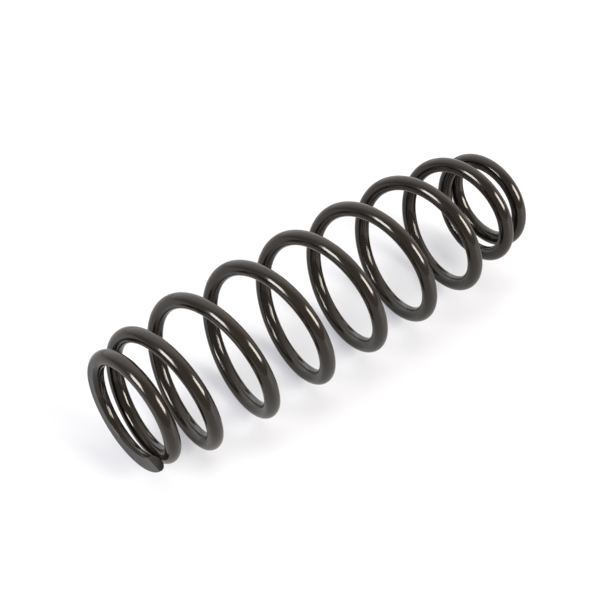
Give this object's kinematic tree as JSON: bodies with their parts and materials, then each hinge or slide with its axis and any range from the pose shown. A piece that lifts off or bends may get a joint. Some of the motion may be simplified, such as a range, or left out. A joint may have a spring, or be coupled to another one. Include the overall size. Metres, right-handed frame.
{
  "type": "coil spring",
  "caption": "Barrel-shaped helical compression spring of round wire, wider at mid-length, with closed ends ground flat.",
  "frame": {"origin": "centre of the lower ground end, on the coil axis", "axes": "+Z along the coil axis from the larger ground end to the smaller one; +Y points from the axis to the side that the spring was lying on; the lower end's cut tip is 38 degrees from +X towards +Y"},
  "size_m": [0.1084, 0.1084, 0.35],
  "materials": {
    "coated_wire": "smooth gloss black coating with a faint warm tint"
  },
  "bodies": {
    "lower_end_coil": {"lower_end_coil": "coated_wire"},
    "active_turn_1_quarter_1": {"active_turn_1_quarter_1": "coated_wire"},
    "active_turn_1_quarter_2": {"active_turn_1_quarter_2": "coated_wire"},
    "active_turn_1_quarter_3": {"active_turn_1_quarter_3": "coated_wire"},
    "active_turn_1_quarter_4": {"active_turn_1_quarter_4": "coated_wire"},
    "active_turn_2_quarter_1": {"active_turn_2_quarter_1": "coated_wire"},
    "active_turn_2_quarter_2": {"active_turn_2_quarter_2": "coated_wire"},
    "active_turn_2_quarter_3": {"active_turn_2_quarter_3": "coated_wire"},
    "active_turn_2_quarter_4": {"active_turn_2_quarter_4": "coated_wire"},
    "active_turn_3_quarter_1": {"active_turn_3_quarter_1": "coated_wire"},
    "active_turn_3_quarter_2": {"active_turn_3_quarter_2": "coated_wire"},
    "active_turn_3_quarter_3": {"active_turn_3_quarter_3": "coated_wire"},
    "active_turn_3_quarter_4": {"active_turn_3_quarter_4": "coated_wire"},
    "active_turn_4_quarter_1": {"active_turn_4_quarter_1": "coated_wire"},
    "active_turn_4_quarter_2": {"active_turn_4_quarter_2": "coated_wire"},
    "active_turn_4_quarter_3": {"active_turn_4_quarter_3": "coated_wire"},
    "active_turn_4_quarter_4": {"active_turn_4_quarter_4": "coated_wire"},
    "active_turn_5_quarter_1": {"active_turn_5_quarter_1": "coated_wire"},
    "active_turn_5_quarter_2": {"active_turn_5_quarter_2": "coated_wire"},
    "active_turn_5_quarter_3": {"active_turn_5_quarter_3": "coated_wire"},
    "active_turn_5_quarter_4": {"active_turn_5_quarter_4": "coated_wire"},
    "active_turn_6_quarter_1": {"active_turn_6_quarter_1": "coated_wire"},
    "active_turn_6_quarter_2": {"active_turn_6_quarter_2": "coated_wire"},
    "active_turn_6_quarter_3": {"active_turn_6_quarter_3": "coated_wire"},
    "active_turn_6_quarter_4": {"active_turn_6_quarter_4": "coated_wire"},
    "active_turn_7_quarter_1": {"active_turn_7_quarter_1": "coated_wire"},
    "active_turn_7_quarter_2": {"active_turn_7_quarter_2": "coated_wire"},
    "active_turn_7_quarter_3": {"active_turn_7_quarter_3": "coated_wire"},
    "active_turn_7_quarter_4": {"active_turn_7_quarter_4": "coated_wire"},
    "upper_end_coil": {"upper_end_coil": "coated_wire"}
  },
  "joints": [
    {"name": "compression", "type": "slide", "parent": "lower_end_coil", "child": "upper_end_coil", "axis": [0, 0, -1], "range_m": [0, 0.21], "stiffness_N_per_m": 24100},
    {"name": "active_turn_1_quarter_1_slide", "type": "slide", "parent": "lower_end_coil", "child": "active_turn_1_quarter_1", "axis": [0, 0, -1], "range_m": [0, 0.0026]},
    {"name": "active_turn_1_quarter_2_slide", "type": "slide", "parent": "lower_end_coil", "child": "active_turn_1_quarter_2", "axis": [0, 0, -1], "range_m": [0, 0.0064]},
    {"name": "active_turn_1_quarter_3_slide", "type": "slide", "parent": "lower_end_coil", "child": "active_turn_1_quarter_3", "axis": [0, 0, -1], "range_m": [0, 0.0114]},
    {"name": "active_turn_1_quarter_4_slide", "type": "slide", "parent": "lower_end_coil", "child": "active_turn_1_quarter_4", "axis": [0, 0, -1], "range_m": [0, 0.0176]},
    {"name": "active_turn_2_quarter_1_slide", "type": "slide", "parent": "lower_end_coil", "child": "active_turn_2_quarter_1", "axis": [0, 0, -1], "range_m": [0, 0.0249]},
    {"name": "active_turn_2_quarter_2_slide", "type": "slide", "parent": "lower_end_coil", "child": "active_turn_2_quarter_2", "axis": [0, 0, -1], "range_m": [0, 0.0329]},
    {"name": "active_turn_2_quarter_3_slide", "type": "slide", "parent": "lower_end_coil", "child": "active_turn_2_quarter_3", "axis": [0, 0, -1], "range_m": [0, 0.0413]},
    {"name": "active_turn_2_quarter_4_slide", "type": "slide", "parent": "lower_end_coil", "child": "active_turn_2_quarter_4", "axis": [0, 0, -1], "range_m": [0, 0.0498]},
    {"name": "active_turn_3_quarter_1_slide", "type": "slide", "parent": "lower_end_coil", "child": "active_turn_3_quarter_1", "axis": [0, 0, -1], "range_m": [0, 0.0583]},
    {"name": "active_turn_3_quarter_2_slide", "type": "slide", "parent": "lower_end_coil", "child": "active_turn_3_quarter_2", "axis": [0, 0, -1], "range_m": [0, 0.0668]},
    {"name": "active_turn_3_quarter_3_slide", "type": "slide", "parent": "lower_end_coil", "child": "active_turn_3_quarter_3", "axis": [0, 0, -1], "range_m": [0, 0.0753]},
    {"name": "active_turn_3_quarter_4_slide", "type": "slide", "parent": "lower_end_coil", "child": "active_turn_3_quarter_4", "axis": [0, 0, -1], "range_m": [0, 0.0838]},
    {"name": "active_turn_4_quarter_1_slide", "type": "slide", "parent": "lower_end_coil", "child": "active_turn_4_quarter_1", "axis": [0, 0, -1], "range_m": [0, 0.0923]},
    {"name": "active_turn_4_quarter_2_slide", "type": "slide", "parent": "lower_end_coil", "child": "active_turn_4_quarter_2", "axis": [0, 0, -1], "range_m": [0, 0.1008]},
    {"name": "active_turn_4_quarter_3_slide", "type": "slide", "parent": "lower_end_coil", "child": "active_turn_4_quarter_3", "axis": [0, 0, -1], "range_m": [0, 0.1094]},
    {"name": "active_turn_4_quarter_4_slide", "type": "slide", "parent": "lower_end_coil", "child": "active_turn_4_quarter_4", "axis": [0, 0, -1], "range_m": [0, 0.1179]},
    {"name": "active_turn_5_quarter_1_slide", "type": "slide", "parent": "lower_end_coil", "child": "active_turn_5_quarter_1", "axis": [0, 0, -1], "range_m": [0, 0.1264]},
    {"name": "active_turn_5_quarter_2_slide", "type": "slide", "parent": "lower_end_coil", "child": "active_turn_5_quarter_2", "axis": [0, 0, -1], "range_m": [0, 0.1349]},
    {"name": "active_turn_5_quarter_3_slide", "type": "slide", "parent": "lower_end_coil", "child": "active_turn_5_quarter_3", "axis": [0, 0, -1], "range_m": [0, 0.1434]},
    {"name": "active_turn_5_quarter_4_slide", "type": "slide", "parent": "lower_end_coil", "child": "active_turn_5_quarter_4", "axis": [0, 0, -1], "range_m": [0, 0.1519]},
    {"name": "active_turn_6_quarter_1_slide", "type": "slide", "parent": "lower_end_coil", "child": "active_turn_6_quarter_1", "axis": [0, 0, -1], "range_m": [0, 0.1604]},
    {"name": "active_turn_6_quarter_2_slide", "type": "slide", "parent": "lower_end_coil", "child": "active_turn_6_quarter_2", "axis": [0, 0, -1], "range_m": [0, 0.1689]},
    {"name": "active_turn_6_quarter_3_slide", "type": "slide", "parent": "lower_end_coil", "child": "active_turn_6_quarter_3", "axis": [0, 0, -1], "range_m": [0, 0.1773]},
    {"name": "active_turn_6_quarter_4_slide", "type": "slide", "parent": "lower_end_coil", "child": "active_turn_6_quarter_4", "axis": [0, 0, -1], "range_m": [0, 0.1853]},
    {"name": "active_turn_7_quarter_1_slide", "type": "slide", "parent": "lower_end_coil", "child": "active_turn_7_quarter_1", "axis": [0, 0, -1], "range_m": [0, 0.1926]},
    {"name": "active_turn_7_quarter_2_slide", "type": "slide", "parent": "lower_end_coil", "child": "active_turn_7_quarter_2", "axis": [0, 0, -1], "range_m": [0, 0.1988]},
    {"name": "active_turn_7_quarter_3_slide", "type": "slide", "parent": "lower_end_coil", "child": "active_turn_7_quarter_3", "axis": [0, 0, -1], "range_m": [0, 0.2038]},
    {"name": "active_turn_7_quarter_4_slide", "type": "slide", "parent": "lower_end_coil", "child": "active_turn_7_quarter_4", "axis": [0, 0, -1], "range_m": [0, 0.2076]}
  ],
  "couplings": [
    {"joint": "active_turn_1_quarter_1_slide", "follows": "compression", "ratio": 0.012},
    {"joint": "active_turn_1_quarter_2_slide", "follows": "compression", "ratio": 0.0299},
    {"joint": "active_turn_1_quarter_3_slide", "follows": "compression", "ratio": 0.0539},
    {"joint": "active_turn_1_quarter_4_slide", "follows": "compression", "ratio": 0.0835},
    {"joint": "active_turn_2_quarter_1_slide", "follows": "compression", "ratio": 0.1179},
    {"joint": "active_turn_2_quarter_2_slide", "follows": "compression", "ratio": 0.156},
    {"joint": "active_turn_2_quarter_3_slide", "follows": "compression", "ratio": 0.1961},
    {"joint": "active_turn_2_quarter_4_slide", "follows": "compression", "ratio": 0.2366},
    {"joint": "active_turn_3_quarter_1_slide", "follows": "compression", "ratio": 0.2771},
    {"joint": "active_turn_3_quarter_2_slide", "follows": "compression", "ratio": 0.3177},
    {"joint": "active_turn_3_quarter_3_slide", "follows": "compression", "ratio": 0.3582},
    {"joint": "active_turn_3_quarter_4_slide", "follows": "compression", "ratio": 0.3987},
    {"joint": "active_turn_4_quarter_1_slide", "follows": "compression", "ratio": 0.4392},
    {"joint": "active_turn_4_quarter_2_slide", "follows": "compression", "ratio": 0.4797},
    {"joint": "active_turn_4_quarter_3_slide", "follows": "compression", "ratio": 0.5203},
    {"joint": "active_turn_4_quarter_4_slide", "follows": "compression", "ratio": 0.5608},
    {"joint": "active_turn_5_quarter_1_slide", "follows": "compression", "ratio": 0.6013},
    {"joint": "active_turn_5_quarter_2_slide", "follows": "compression", "ratio": 0.6418},
    {"joint": "active_turn_5_quarter_3_slide", "follows": "compression", "ratio": 0.6823},
    {"joint": "active_turn_5_quarter_4_slide", "follows": "compression", "ratio": 0.7229},
    {"joint": "active_turn_6_quarter_1_slide", "follows": "compression", "ratio": 0.7634},
    {"joint": "active_turn_6_quarter_2_slide", "follows": "compression", "ratio": 0.8039},
    {"joint": "active_turn_6_quarter_3_slide", "follows": "compression", "ratio": 0.844},
    {"joint": "active_turn_6_quarter_4_slide", "follows": "compression", "ratio": 0.8821},
    {"joint": "active_turn_7_quarter_1_slide", "follows": "compression", "ratio": 0.9165},
    {"joint": "active_turn_7_quarter_2_slide", "follows": "compression", "ratio": 0.9461},
    {"joint": "active_turn_7_quarter_3_slide", "follows": "compression", "ratio": 0.9701},
    {"joint": "active_turn_7_quarter_4_slide", "follows": "compression", "ratio": 0.988}
  ]
}
